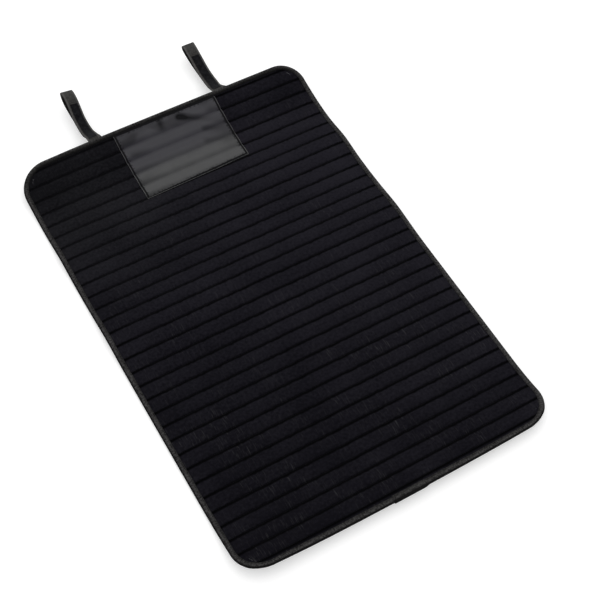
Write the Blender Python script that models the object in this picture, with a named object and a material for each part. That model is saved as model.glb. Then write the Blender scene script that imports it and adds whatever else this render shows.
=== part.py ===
"""A kayak roof pad: a quilted mat with a bound edge, a vinyl patch and two webbing loops.

Metres, +Z up. The origin is the middle of the mat's flat underside. +Y points to the edge
that carries the loops, and +X to the right of somebody who looks towards that edge.

Every sheet is first worked out on the flat mat, by its distance across, its distance along
and its height over the underside. The function curled then lifts both ends of the mat, as
they lie after the mat has been kept rolled up.
"""

import math

import bmesh
import bpy
from mathutils import Vector
from mathutils.geometry import interpolate_bezier

OBJECT_NAME = "kayak_roof_pad"

# The mat's outline
MAT_WIDTH = 0.605
MAT_LENGTH = 0.914
CORNER_RADIUS = 0.054

# How the two ends curl up
TOP_CURL_LENGTH = 0.168
TOP_CURL_RADIUS = 0.435
BOTTOM_CURL_LENGTH = 0.132
BOTTOM_CURL_RADIUS = 0.530

# Air between two layers that touch
GAP = 0.0003

# The layers, from the floor up
BACKING_THICKNESS = 0.0008
FOAM_AT_SEAM = 0.0010
FOAM_AT_CROWN = 0.0052
FACE_THICKNESS = 0.0008

# The sewn channels that run across the mat
CHANNELS = 30
FIRST_SEAM_MARGIN = 0.018
CHANNEL_END_LENGTH = 0.018

# The binding tape
BINDING_WIDTH = 0.010
BINDING_THICKNESS = 0.0008
BINDING_SEAM_ALLOWANCE = 0.002
BINDING_FLOOR_CLEARANCE = 0.0003
LAP_START = -0.028
LAP_END = 0.020
LAP_RISE_LENGTH = 0.010

# The vinyl patch
PATCH_WIDTH = 0.219
PATCH_OFFSET = 0.0075
PATCH_LENGTH = 0.151
PATCH_THICKNESS = 0.0005
PATCH_HEM = 0.009
PATCH_DIP_SHARE = 0.35

# The webbing loops
STRAP_SPACING = 0.270
WEBBING_WIDTH = 0.025
WEBBING_THICKNESS = 0.0015
STRAP_SEWN_LENGTH = 0.040
STRAP_REACH = 0.140
STRAP_TIP_HEIGHT = 0.029
STRAP_SAG_HEIGHT = 0.0205
STRAP_SAG_SHARE = 0.42
STRAP_LEAVING_SHARE = 0.02
STRAP_LEVEL_SHARE = 0.25
LOOP_GAP = 0.0170
LOOP_LENGTH = 0.072

# The hook tape on each loop
TAPE_WIDTH = 0.017
TAPE_THICKNESS = 0.0012
TAPE_FROM_FOLD = 0.029
TAPE_FROM_EDGE = 0.012

# How finely the curves are drawn
CHANNEL_SHARES = (0.0, 0.14, 0.5, 0.86)
END_ROW_ANGLES = (0, 15, 30)
CORNER_STEPS = 8
NOSE_STEPS = 4
CURL_STEP = 0.014
STRAP_STEPS = 14
FOLD_STEPS = 8
SHARP_ANGLE = math.radians(40)

# Values worked out from those above
HALF_LENGTH = MAT_LENGTH / 2
EDGE_FLAT = BINDING_WIDTH + BINDING_SEAM_ALLOWANCE
CHANNEL_PITCH = (MAT_LENGTH - FIRST_SEAM_MARGIN - EDGE_FLAT) / CHANNELS
FIRST_SEAM = FIRST_SEAM_MARGIN - HALF_LENGTH
LAST_SEAM = HALF_LENGTH - EDGE_FLAT
EDGE_LIFT = BINDING_FLOOR_CLEARANCE + BINDING_THICKNESS + GAP
SEAM_STACK = BACKING_THICKNESS + GAP + FOAM_AT_SEAM + GAP + FACE_THICKNESS
NOSE_INNER_RADIUS = SEAM_STACK / 2 + GAP
NOSE_INSET = NOSE_INNER_RADIUS + BINDING_THICKNESS
NOSE_HEIGHT = EDGE_LIFT + SEAM_STACK / 2


def clamp(value, low=0.0, high=1.0):
    return max(low, min(high, value))


def eased(share):
    """A share from 0 to 1 with a soft start and a soft stop."""
    share = clamp(share)
    return share * share * (3 - 2 * share)


def curled(across, along, height):
    """Where a point of the flat mat lies once both ends have curled up."""
    past_top = max(0.0, along - (HALF_LENGTH - TOP_CURL_LENGTH))
    past_bottom = max(0.0, -along - (HALF_LENGTH - BOTTOM_CURL_LENGTH))
    top_arm = TOP_CURL_RADIUS - height
    bottom_arm = BOTTOM_CURL_RADIUS - height
    top_angle = past_top / TOP_CURL_RADIUS
    bottom_angle = past_bottom / BOTTOM_CURL_RADIUS
    y = along - past_top + past_bottom
    y += top_arm * math.sin(top_angle) - bottom_arm * math.sin(bottom_angle)
    z = height + top_arm * (1 - math.cos(top_angle)) + bottom_arm * (1 - math.cos(bottom_angle))
    return Vector((across, y, z))


def half_width(along, inset):
    """Half the width, at a distance along the mat, of its outline drawn in by inset."""
    radius = CORNER_RADIUS - inset
    past = abs(along) - (HALF_LENGTH - CORNER_RADIUS)
    straight = MAT_WIDTH / 2 - CORNER_RADIUS
    if past <= 0:
        return straight + radius
    return straight + math.sqrt(max(0.0, radius**2 - past**2))


def channel_crown(along):
    """How full a channel is: 0 on a seam, 1 midway between two seams."""
    channel = (along - FIRST_SEAM) / CHANNEL_PITCH
    if not 0 < channel < CHANNELS:
        return 0.0
    share = channel % 1
    return 2 * math.sqrt(share * (1 - share))


def underside(across, along):
    """Height of the backing's lower face: lifted round the edge to make room for the binding."""
    from_end = HALF_LENGTH - EDGE_FLAT - abs(along)
    from_side = half_width(along, EDGE_FLAT) - abs(across)
    return EDGE_LIFT * (1 - clamp(min(from_end, from_side) / CHANNEL_END_LENGTH))


def foam_thickness(across, along):
    """The foam is pressed flat along the seams and where the binding's seam closes the channels."""
    from_side = half_width(along, EDGE_FLAT) - abs(across)
    full = channel_crown(along) * clamp(from_side / CHANNEL_END_LENGTH)
    return FOAM_AT_SEAM + (FOAM_AT_CROWN - FOAM_AT_SEAM) * full


def foam_bottom(across, along):
    return underside(across, along) + BACKING_THICKNESS + GAP


def foam_top(across, along):
    return foam_bottom(across, along) + foam_thickness(across, along)


def face_bottom(across, along):
    return foam_top(across, along) + GAP


def face_top(across, along):
    return face_bottom(across, along) + FACE_THICKNESS


def steps(start, stop, longest):
    """Evenly spaced values from start up to, but without, stop, no further apart than longest."""
    count = max(1, math.ceil(abs(stop - start) / longest - 1e-6))
    return [start + (stop - start) * step / count for step in range(count)]


def end_rows():
    """Distances from the mat's end of the rows that draw the corner outside the first seam."""
    radius = CORNER_RADIUS - NOSE_INSET
    return [NOSE_INSET + radius * (1 - math.cos(math.radians(angle))) for angle in END_ROW_ANGLES]


def quilt_rows():
    """Distances along the mat of the rows that draw its channels."""
    outside = [row for row in end_rows() if row < EDGE_FLAT]
    rows = [row - HALF_LENGTH for row in outside]
    rows.append(EDGE_FLAT - HALF_LENGTH)
    for channel in range(CHANNELS):
        rows += [FIRST_SEAM + (channel + share) * CHANNEL_PITCH for share in CHANNEL_SHARES]
    rows.append(LAST_SEAM)
    rows += [HALF_LENGTH - row for row in reversed(outside)]
    return rows


def backing_rows():
    """The backing has the channels' rows at its corners and rows that draw its curled ends."""
    corner = HALF_LENGTH - CORNER_RADIUS
    rows = [row for row in quilt_rows() if row < -corner]
    rows += steps(-corner, BOTTOM_CURL_LENGTH - HALF_LENGTH, CURL_STEP)
    rows += [BOTTOM_CURL_LENGTH - HALF_LENGTH]
    rows += steps(HALF_LENGTH - TOP_CURL_LENGTH, corner, CURL_STEP)
    return rows + [row for row in quilt_rows() if row > corner]


def mat_columns(along):
    """Distances across of a row's points: where it is full, the binding's seam and the cut edge."""
    seam = half_width(along, EDGE_FLAT)
    right = [seam - CHANNEL_END_LENGTH, seam, half_width(along, NOSE_INSET)]
    return [-x for x in reversed(right)] + right


def material(name, colour, roughness, metallic=0.0):
    made = bpy.data.materials.new(name)
    made.use_nodes = True
    shader = made.node_tree.nodes["Principled BSDF"]
    shader.inputs["Base Color"].default_value = (*colour, 1.0)
    shader.inputs["Roughness"].default_value = roughness
    shader.inputs["Metallic"].default_value = metallic
    made.diffuse_color = (*colour, 1.0)
    return made


def thick_sheet(name, columns, rows, outer, inner, finish):
    """A closed sheet drawn on a grid: outer and inner give the two faces' points."""
    shape = bmesh.new()
    bmesh.ops.create_grid(shape, x_segments=columns - 1, y_segments=rows - 1, size=0.5)
    raised = bmesh.ops.extrude_face_region(shape, geom=shape.faces[:])
    raised = {item for item in raised["geom"] if isinstance(item, bmesh.types.BMVert)}
    for vert in shape.verts:
        column = round((vert.co.x + 0.5) * (columns - 1))
        row = round((vert.co.y + 0.5) * (rows - 1))
        vert.co = outer(column, row) if vert in raised else inner(column, row)
    if shape.calc_volume(signed=True) < 0:
        bmesh.ops.reverse_faces(shape, faces=shape.faces[:])
    mesh = bpy.data.meshes.new(name)
    shape.to_mesh(mesh)
    shape.free()
    mesh.shade_smooth()
    mesh.set_sharp_from_angle(angle=SHARP_ANGLE)
    mesh.materials.append(finish)
    made = bpy.data.objects.new(name, mesh)
    bpy.data.collections[OBJECT_NAME].objects.link(made)
    return made


def mat_layer(name, rows, bottom, top, finish):
    """One layer of the mat, between two heights that depend on the place across and along."""
    grid = [[(x, along) for x in mat_columns(along)] for along in rows]

    def outer(column, row):
        x, along = grid[row][column]
        return curled(x, along, top(x, along))

    def inner(column, row):
        x, along = grid[row][column]
        return curled(x, along, bottom(x, along))

    return thick_sheet(name, len(grid[0]), len(rows), outer, inner, finish)


def make_backing(finish):
    def top(x, along):
        return underside(x, along) + BACKING_THICKNESS

    return mat_layer("backing_sheet", backing_rows(), underside, top, finish)


def make_foam(finish):
    return mat_layer("foam_core", quilt_rows(), foam_bottom, foam_top, finish)


def make_face(finish):
    return mat_layer("face_fabric", quilt_rows(), face_bottom, face_top, finish)


def side_distances():
    """Distances along the mat at which a side of the binding is drawn, between its corners."""
    corner = HALF_LENGTH - CORNER_RADIUS
    top_level = HALF_LENGTH - TOP_CURL_LENGTH
    bottom_level = BOTTOM_CURL_LENGTH - HALF_LENGTH
    distances = steps(-corner, bottom_level, CURL_STEP) + [bottom_level]
    return distances + steps(top_level, corner, CURL_STEP)


def binding_stations():
    """Points round the mat's outline, from one end of the tape to the other.

    Each is its place across and along, the direction out of the mat there, and how far
    the tape is pushed out by the tape under it. The first end lies on top of the last one.
    """
    corner_x = MAT_WIDTH / 2 - CORNER_RADIUS
    corner_y = HALF_LENGTH - CORNER_RADIUS
    over = BINDING_THICKNESS + GAP
    stations = [(LAP_START, -HALF_LENGTH, -90, over)]
    stations.append((LAP_END + LAP_RISE_LENGTH, -HALF_LENGTH, -90, over))
    stations.append((LAP_END + 2 * LAP_RISE_LENGTH, -HALF_LENGTH, -90, 0.0))

    def corner(x, y, start):
        for step in range(CORNER_STEPS + 1):
            angle = start + 90 * step / CORNER_STEPS
            across = x + CORNER_RADIUS * math.cos(math.radians(angle))
            along = y + CORNER_RADIUS * math.sin(math.radians(angle))
            stations.append((across, along, angle, 0.0))

    corner(corner_x, -corner_y, -90)
    stations.extend((MAT_WIDTH / 2, along, 0, 0.0) for along in side_distances()[1:])
    corner(corner_x, corner_y, 0)
    corner(-corner_x, corner_y, 90)
    left = reversed(side_distances()[1:])
    stations.extend((-MAT_WIDTH / 2, along, 180, 0.0) for along in left)
    corner(-corner_x, -corner_y, 180)
    stations.append((LAP_END, -HALF_LENGTH, 270, 0.0))
    return stations


def make_binding(finish):
    """The tape's section is a U laid on its side round the layers' pressed edge."""
    stations = binding_stations()
    turns = [90 + 180 * step / NOSE_STEPS for step in range(NOSE_STEPS + 1)]
    section = [(BINDING_WIDTH, 90)] + [(None, turn) for turn in turns] + [(BINDING_WIDTH, 270)]

    def point(column, row, thickness):
        leg, turn = section[column]
        x, along, facing, push = stations[row]
        radius = NOSE_INNER_RADIUS + push + thickness
        inset = NOSE_INSET + radius * math.cos(math.radians(turn)) if leg is None else leg
        height = NOSE_HEIGHT + radius * math.sin(math.radians(turn))
        x -= inset * math.cos(math.radians(facing))
        along -= inset * math.sin(math.radians(facing))
        return curled(x, along, height)

    def outer(column, row):
        return point(column, row, BINDING_THICKNESS)

    def inner(column, row):
        return point(column, row, 0.0)

    return thick_sheet("edge_binding", len(section), len(stations), outer, inner, finish)


def make_patch(finish):
    """The patch lies over the crowns, sinks a little into each seam, and is sewn down at its ends."""
    top_end = HALF_LENGTH - BINDING_WIDTH - GAP
    bottom_end = top_end - PATCH_LENGTH
    hem = [bottom_end, bottom_end + PATCH_HEM, bottom_end + PATCH_HEM + PATCH_THICKNESS]
    inside = [row for row in quilt_rows() if hem[-1] + GAP < row < LAST_SEAM]
    rows = hem + inside + [LAST_SEAM, top_end]
    half = PATCH_WIDTH / 2
    right = [half - PATCH_HEM - PATCH_THICKNESS, half - PATCH_HEM, half]
    columns = [PATCH_OFFSET + x for x in [-x for x in reversed(right)] + right]

    def bottom(column, row):
        along = rows[row]
        level = SEAM_STACK + GAP + underside(0.0, along)
        share = 1.0 if along < bottom_end + PATCH_HEM or along >= LAST_SEAM else PATCH_DIP_SHARE
        dip = share * (1 - channel_crown(along))
        return level + (FOAM_AT_CROWN - FOAM_AT_SEAM) * (1 - dip)

    def inner(column, row):
        return curled(columns[column], rows[row], bottom(column, row))

    def outer(column, row):
        hemmed = row < 2 or column < 2 or column >= len(columns) - 2
        thickness = PATCH_THICKNESS * (2 if hemmed else 1)
        return curled(columns[column], rows[row], bottom(column, row) + thickness)

    return thick_sheet("label_patch", len(columns), len(rows), outer, inner, finish)


def strap_middle():
    """Points midway between a loop's two plies, from its sewn end under the mat to its fold."""
    sewn_height = -(GAP + WEBBING_THICKNESS + GAP / 2)
    sewn = steps(HALF_LENGTH - STRAP_SEWN_LENGTH, HALF_LENGTH, CURL_STEP)
    points = [curled(0.0, along, sewn_height) for along in sewn]
    edge = curled(0.0, HALF_LENGTH, sewn_height)
    slope = TOP_CURL_LENGTH / TOP_CURL_RADIUS
    sag = Vector((0.0, edge.y + STRAP_SAG_SHARE * STRAP_REACH, STRAP_SAG_HEIGHT))
    tip = Vector((0.0, edge.y + STRAP_REACH, STRAP_TIP_HEIGHT))
    leaving = Vector((0.0, math.cos(slope), math.sin(slope)))
    leaving *= STRAP_LEAVING_SHARE * STRAP_REACH
    level = Vector((0.0, STRAP_LEVEL_SHARE * STRAP_REACH, 0.0))
    handles = [(edge, edge + leaving, sag - level, sag), (sag, sag + level, tip - level, tip)]
    for handle in handles:
        points += interpolate_bezier(*handle, STRAP_STEPS)[:-1]
    return points + [tip]


def direction(points, index):
    """The unit direction of a line of points, at one of them, in the plane of Y and Z."""
    before = points[max(index - 1, 0)]
    after = points[min(index + 1, len(points) - 1)]
    return (after - before).normalized()


def upward(ahead):
    """The direction square to ahead that points up and back."""
    return Vector((0.0, -ahead.z, ahead.y))


def strap_plies():
    """Points down the middle of the webbing: out along the upper ply, round the fold and back."""
    middle = strap_middle()
    sewn_apart = (WEBBING_THICKNESS + GAP) / 2
    open_apart = (LOOP_GAP + WEBBING_THICKNESS) / 2
    from_tip = [0.0]
    for before, after in zip(reversed(middle), list(reversed(middle))[1:]):
        from_tip.append(from_tip[-1] + (before - after).length)
    from_tip.reverse()
    upper = []
    lower = []
    for index, (point, distance) in enumerate(zip(middle, from_tip)):
        if distance < open_apart:
            continue
        share = eased((distance - open_apart) / LOOP_LENGTH)
        apart = open_apart + (sewn_apart - open_apart) * share
        side = upward(direction(middle, index)) * apart
        upper.append(point + side)
        lower.append(point - side)
    ahead = direction(middle, len(middle) - 1)
    centre = middle[-1] - ahead * open_apart
    fold = []
    for step in range(FOLD_STEPS + 1):
        angle = math.pi * step / FOLD_STEPS
        spoke = upward(ahead) * math.cos(angle) + ahead * math.sin(angle)
        fold.append(centre + spoke * open_apart)
    return upper + fold + lower[::-1]


def ribbon(name, across, width, points, low, high, finish):
    """A flat strip that follows points, between two distances to the outside of their line."""
    def face(distance):
        def point(column, row):
            side = upward(direction(points, row)) * distance
            return points[row] + side + Vector((across + width * (column - 0.5), 0.0, 0.0))
        return point

    return thick_sheet(name, 2, len(points), face(high), face(low), finish)


def make_loop(name, across, webbing, hooks):
    plies = strap_plies()
    half = WEBBING_THICKNESS / 2
    ribbon(name, across, WEBBING_WIDTH, plies, -half, half, webbing)
    fold_start = curled(0.0, HALF_LENGTH, 0.0).y + STRAP_REACH - TAPE_FROM_FOLD
    mat_edge = curled(0.0, HALF_LENGTH, 0.0).y + TAPE_FROM_EDGE
    upper = plies[: len(plies) // 2]
    under_tape = [point for point in upper if mat_edge <= point.y <= fold_start]
    low = half + GAP
    high = low + TAPE_THICKNESS
    ribbon(f"{name}_hook_tape", across, TAPE_WIDTH, under_tape, low, high, hooks)


def clear_scene():
    for old in list(bpy.data.objects):
        bpy.data.objects.remove(old)


def main():
    clear_scene()
    collection = bpy.data.collections.new(OBJECT_NAME)
    bpy.context.scene.collection.children.link(collection)
    make_backing(material("non_slip_backing", (0.030, 0.030, 0.032), 0.80))
    make_foam(material("foam", (0.08, 0.08, 0.085), 0.95))
    make_face(material("napped_knit", (0.010, 0.010, 0.012), 0.95))
    make_binding(material("binding_tape", (0.045, 0.043, 0.041), 0.70))
    make_patch(material("patch_vinyl", (0.040, 0.041, 0.044), 0.40))
    webbing = material("webbing", (0.050, 0.050, 0.050), 0.65)
    hooks = material("hook_tape", (0.018, 0.018, 0.020), 0.90)
    make_loop("strap_left", -STRAP_SPACING / 2, webbing, hooks)
    make_loop("strap_right", STRAP_SPACING / 2, webbing, hooks)


main()
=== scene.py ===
# %% [markdown]
# # The looks of a kayak roof pad
# The pad is a quilted mat that lies on a car's roof: a napped knit over foam over a non-slip
# backing, sewn through in thirty channels, with a woven tape bound round its edge, a vinyl
# patch at one end and two webbing loops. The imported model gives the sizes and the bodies.
# This script dresses it: every piece is remade finely enough for its folds, threads and wear.

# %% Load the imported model
import math
from collections import namedtuple

import bpy
import numpy as np
from mathutils import Matrix, Vector


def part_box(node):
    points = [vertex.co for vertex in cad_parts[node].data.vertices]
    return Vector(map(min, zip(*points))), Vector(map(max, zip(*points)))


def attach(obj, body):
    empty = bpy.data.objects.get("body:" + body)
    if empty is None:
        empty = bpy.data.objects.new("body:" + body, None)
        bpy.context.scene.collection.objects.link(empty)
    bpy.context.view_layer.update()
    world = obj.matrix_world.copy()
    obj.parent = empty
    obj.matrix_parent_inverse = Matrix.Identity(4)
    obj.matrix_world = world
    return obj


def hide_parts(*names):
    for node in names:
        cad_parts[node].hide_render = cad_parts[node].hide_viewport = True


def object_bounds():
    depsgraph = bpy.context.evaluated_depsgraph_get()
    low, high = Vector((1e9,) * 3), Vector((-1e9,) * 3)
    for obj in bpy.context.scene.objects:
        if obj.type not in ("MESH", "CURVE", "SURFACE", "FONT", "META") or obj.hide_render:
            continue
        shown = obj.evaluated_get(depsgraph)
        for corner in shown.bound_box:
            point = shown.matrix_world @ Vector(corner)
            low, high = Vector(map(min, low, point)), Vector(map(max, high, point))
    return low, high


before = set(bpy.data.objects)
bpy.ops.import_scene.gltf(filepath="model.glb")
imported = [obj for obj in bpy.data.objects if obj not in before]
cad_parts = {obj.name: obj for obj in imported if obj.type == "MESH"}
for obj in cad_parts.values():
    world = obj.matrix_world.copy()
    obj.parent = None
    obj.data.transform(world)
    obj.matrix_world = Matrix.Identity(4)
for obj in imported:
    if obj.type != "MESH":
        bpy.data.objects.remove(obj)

CAD_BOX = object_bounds()
print("solids:", ", ".join(sorted(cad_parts)))

# %% [markdown]
# ## Camera
# The pad lies on the floor and the camera looks down on it from the lower left. The place, the
# point it looks at and the small roll were worked out from the mat's known straight lines: its
# two sides, its two ends and the thirty seams. A long lens keeps those lines nearly parallel.

# %% Camera
CAMERA_PLACE = Vector((-0.62814, -1.06643, 1.91217))
CAMERA_AIM = Vector((0.03855, -0.03516, 0.0))
CAMERA_ROLL = math.radians(3.39)
CAMERA_LENS = 75.85
SENSOR_WIDTH = 36.0

camera_data = bpy.data.cameras.new("camera")
camera_data.lens = CAMERA_LENS
camera_data.sensor_width = SENSOR_WIDTH
camera = bpy.data.objects.new("camera", camera_data)
bpy.context.scene.collection.objects.link(camera)
camera.location = CAMERA_PLACE
facing = (CAMERA_AIM - CAMERA_PLACE).to_track_quat("-Z", "Y").to_matrix()
camera.rotation_euler = (facing @ Matrix.Rotation(CAMERA_ROLL, 3, "Z")).to_euler()
bpy.context.scene.camera = camera
bpy.context.scene.view_settings.view_transform = "Standard"
print("camera", round((CAMERA_AIM - CAMERA_PLACE).length, 3), "m from its aim")

# %% [markdown]
# ## Sums with sockets
# A procedural material is a graph of nodes, and most of them are sums. Written with links, a
# sum takes a dozen lines. The class Value wraps a socket so that Python's own signs add the
# Math nodes, and the class Finish makes a material and adds every other kind of node to it.

# %% Value and Finish
class Value:
    """An output socket that takes part in Python sums, also from the right, as in 1 - mask."""

    def __init__(self, finish, socket):
        self.finish = finish
        self.socket = socket

    def math(self, operation, *others):
        return self.finish.node("ShaderNodeMath", {"operation": operation}, [self, *others])

    def __add__(self, other):
        return self.math("ADD", other)

    def __sub__(self, other):
        return self.math("SUBTRACT", other)

    def __mul__(self, other):
        return self.math("MULTIPLY", other)

    def __truediv__(self, other):
        return self.math("DIVIDE", other)

    def __rsub__(self, other):
        return self.finish.node("ShaderNodeMath", {"operation": "SUBTRACT"}, [other, self])

    def seam_share(self):
        """How far a number is from the nearest whole one, from 0 to a half."""
        return ((self + 0.5).math("FRACT") - 0.5).math("ABSOLUTE")

    def sharpened(self, low, high):
        """0 below low, 1 above high, and a soft step between."""
        settings = {"interpolation_type": "SMOOTHSTEP"}
        return self.finish.node("ShaderNodeMapRange", settings, [self, low, high, 0.0, 1.0])


class Finish:
    """A material under construction, with the surface shader that every one of them ends in."""

    def __init__(self, name, **constants):
        self.material = bpy.data.materials.new(name)
        self.material.use_nodes = True
        self.tree = self.material.node_tree
        self.shader = self.tree.nodes["Principled BSDF"]
        for socket, value in constants.items():
            self.shader.inputs[socket.replace("_", " ")].default_value = value

    def node(self, kind, settings, inputs, output=0):
        """Adds a node, sets it up, fills its inputs in order or by name, and wraps an output."""
        added = self.tree.nodes.new(kind)
        for setting, value in settings.items():
            setattr(added, setting, value)
        pairs = inputs.items() if isinstance(inputs, dict) else enumerate(inputs)
        for key, value in pairs:
            if isinstance(value, Value):
                self.tree.links.new(value.socket, added.inputs[key])
            else:
                added.inputs[key].default_value = value
        return Value(self, added.outputs[output])

    def feed(self, socket, value):
        self.tree.links.new(value.socket, self.shader.inputs[socket])

    def cut(self, name="cut"):
        """Where a point lies on the cloth as it was cut, in metres: across and along."""
        return self.node("ShaderNodeUVMap", {"uv_map": name}, [])

    def lying(self):
        """Where a point lies at rest, in metres, for what doesn't follow the cut cloth."""
        return self.node("ShaderNodeTexCoord", {}, [], output=3)

    def split(self, place):
        """The two numbers of a place."""
        across = self.node("ShaderNodeSeparateXYZ", {}, [place])
        return across, Value(self, across.socket.node.outputs[1])

    def stretched(self, place, across, along, turn=0.0):
        """The place scaled each way and turned, for a pattern that runs one way."""
        inputs = {"Vector": place, "Scale": (across, along, 1.0), "Rotation": (0.0, 0.0, turn)}
        return self.node("ShaderNodeMapping", {}, inputs)

    def noise(self, place, scale, detail=2.0, roughness=0.5):
        inputs = {"Vector": place, "Scale": scale, "Detail": detail, "Roughness": roughness}
        return self.node("ShaderNodeTexNoise", {}, inputs)

    def ribs(self, place, scale, direction, distortion=0.0):
        """Even light bands across one direction, such as those of a woven rib."""
        inputs = {"Vector": place, "Scale": scale, "Distortion": distortion, "Detail": 1.0}
        return self.node("ShaderNodeTexWave", {"bands_direction": direction}, inputs)

    def blend(self, share, dark, light):
        """A colour between two, which may be colours or the results of other blends."""
        settings = {"data_type": "RGBA"}
        return self.node("ShaderNodeMix", settings, {0: share, 6: dark, 7: light}, output=2)

    def relief(self, height, depth, strength=1.0):
        """Turns a height from 0 to 1 into a bump of that depth in metres."""
        inputs = {"Height": height, "Distance": depth, "Strength": strength}
        return self.node("ShaderNodeBump", {}, inputs)


# %% [markdown]
# ## The mat's own numbers
# Every sheet is worked out on the flat mat, by its distance across, its distance along and its
# height over the underside, and then laid down by one function. So all the pieces stay against
# each other. The widths that the solids know are read from them, and the rest is named here.

# %% Sizes of the mat
HALF_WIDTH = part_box("edge_binding")[1].x
MAT_LENGTH = 0.914
HALF_LENGTH = MAT_LENGTH / 2
CORNER_RADII = {"top_left": 0.061, "top_right": 0.049, "bottom_left": 0.052, "bottom_right": 0.060}
BOTTOM_BOW, BOW_FALL = 0.0024, 1.35
TOP_CURL_LENGTH, TOP_CURL_RADIUS = 0.168, 0.435
BOTTOM_CURL_LENGTH, BOTTOM_CURL_RADIUS = 0.132, 0.530

GAP = 0.0003
BACKING_THICKNESS = 0.0008
FOAM_AT_SEAM = 0.0010
FOAM_AT_CROWN = 0.0052
FACE_THICKNESS = 0.0008
CHANNELS = 30
FIRST_SEAM_MARGIN = 0.018
CHANNEL_END_LENGTH = 0.014

BINDING_WIDTH = 0.010
BINDING_THICKNESS = 0.0008
EDGE_FLAT = BINDING_WIDTH + 0.002
EDGE_LIFT = 0.0014

CHANNEL_PITCH = (MAT_LENGTH - FIRST_SEAM_MARGIN - EDGE_FLAT) / CHANNELS
FIRST_SEAM = FIRST_SEAM_MARGIN - HALF_LENGTH
LAST_SEAM = HALF_LENGTH - EDGE_FLAT
SEAM_STACK = BACKING_THICKNESS + FOAM_AT_SEAM + FACE_THICKNESS + 2 * GAP
NOSE_RADIUS = SEAM_STACK / 2 + GAP
NOSE_INSET = NOSE_RADIUS + BINDING_THICKNESS
NOSE_HEIGHT = EDGE_LIFT + SEAM_STACK / 2
SEAMS = FIRST_SEAM + CHANNEL_PITCH * np.arange(CHANNELS + 1)
print(f"{CHANNELS} channels, {CHANNEL_PITCH * 1000:.1f} mm each")

# %% [markdown]
# ## How the mat lies
# Such a mat is kept rolled up, so both ends stand off the floor, and two low waves cross it
# where the roll's turns were. Three corners lift or droop a little more than the rest. The
# function laid takes flat places and gives where they come to rest.

# %% Laying the flat mat down
WAVES = [(0.0535, 0.0055, 0.0518), (0.246, 0.0057, 0.0395)]
CORNER_LIFTS = [(-1, -1, 0.0072, 0.095), (1, -1, 0.0035, 0.060), (-1, 1, -0.0050, 0.120)]


def laid(across, along, height):
    """Arrays of flat places, in metres, to an array of points of the mat at rest."""
    across, along, height = np.broadcast_arrays(across, along, height)
    past_top = np.maximum(0.0, along - (HALF_LENGTH - TOP_CURL_LENGTH))
    past_bottom = np.maximum(0.0, -along - (HALF_LENGTH - BOTTOM_CURL_LENGTH))
    top_arm = TOP_CURL_RADIUS - height
    bottom_arm = BOTTOM_CURL_RADIUS - height
    top_turn = past_top / TOP_CURL_RADIUS
    bottom_turn = past_bottom / BOTTOM_CURL_RADIUS
    y = along - past_top + past_bottom
    y = y + top_arm * np.sin(top_turn) - bottom_arm * np.sin(bottom_turn)
    z = height + top_arm * (1 - np.cos(top_turn)) + bottom_arm * (1 - np.cos(bottom_turn))
    for middle, rise, width in WAVES:
        z = z + rise * np.exp(-(((along - middle) / width) ** 2))
    for side, end, rise, spread in CORNER_LIFTS:
        away = (across - side * HALF_WIDTH) ** 2 + (along - end * HALF_LENGTH) ** 2
        z = z + rise * np.exp(-away / spread**2)
    return np.stack([across, y, z], axis=-1)


def eased(share):
    share = np.clip(share, 0.0, 1.0)
    return share * share * (3 - 2 * share)


# %% [markdown]
# ## The outline
# The sides are straight, and each corner has its own radius, because cloth never turns four
# corners alike. The tape has pulled the bottom edge into a slight bow between them.

# %% Outline of the mat
def reach(along, side, inset):
    """How far the outline, drawn in by inset, lies from the mat's middle line on one side."""
    name = "right" if side > 0 else "left"
    radius = np.where(along > 0, CORNER_RADII[f"top_{name}"], CORNER_RADII[f"bottom_{name}"])
    past = np.maximum(0.0, np.abs(along) - (HALF_LENGTH - radius))
    curve = radius - inset
    return HALF_WIDTH - radius + np.sqrt(np.maximum(0.0, curve**2 - past**2))


def bowed(across, along):
    """The place along, with the bottom edge pushed out in its middle."""
    share = eased((FIRST_SEAM - along) / FIRST_SEAM_MARGIN)
    spread = across / (HALF_WIDTH - CORNER_RADII["bottom_right"])
    return along - share * BOTTOM_BOW * (1 - BOW_FALL * spread**2)


def edge_distance(across, along):
    """How far a place lies inside the line where the binding's seam presses the layers flat."""
    from_side = np.where(
        across > 0,
        reach(along, 1, EDGE_FLAT) - across,
        reach(along, -1, EDGE_FLAT) + across,
    )
    return np.minimum(HALF_LENGTH - EDGE_FLAT - np.abs(along), from_side)


# %% [markdown]
# ## The layers' heights
# A seam presses the foam to a fifth of its height. Between two seams the foam swells into a
# flat-topped bar with steep flanks, and it fades out where the binding closes the channel.

# %% Heights of the layers
FLANK_SHARPNESS = 3.0
FLANK_FULLNESS = 0.52


def channel_crown(along):
    """How full a channel is: 0 on a seam, 1 midway between two seams."""
    channel = (along - FIRST_SEAM) / CHANNEL_PITCH
    share = np.where((channel > 0) & (channel < CHANNELS), channel % 1, 0.0)
    return np.maximum(0.0, 1 - np.abs(2 * share - 1) ** FLANK_SHARPNESS) ** FLANK_FULLNESS


def underside(across, along):
    """Height of the backing's lower face: lifted round the edge, where the tape goes under it."""
    return EDGE_LIFT * (1 - np.clip(edge_distance(across, along) / CHANNEL_END_LENGTH, 0, 1))


def foam_thickness(across, along):
    closed = eased(edge_distance(across, along) / CHANNEL_END_LENGTH)
    return FOAM_AT_SEAM + (FOAM_AT_CROWN - FOAM_AT_SEAM) * channel_crown(along) * closed


def face_top(across, along):
    return underside(across, along) + SEAM_STACK - FOAM_AT_SEAM + foam_thickness(across, along)


# %% [markdown]
# ## Grids and sheets
# A cloth starts as a flat grid at the size it was cut to. A grid keeps its rows, so each row
# can be put on a seam or between two. The flat place of every point is kept as the UV map
# named cut: a weave that reads it follows the cloth wherever the cloth is bent.

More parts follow.
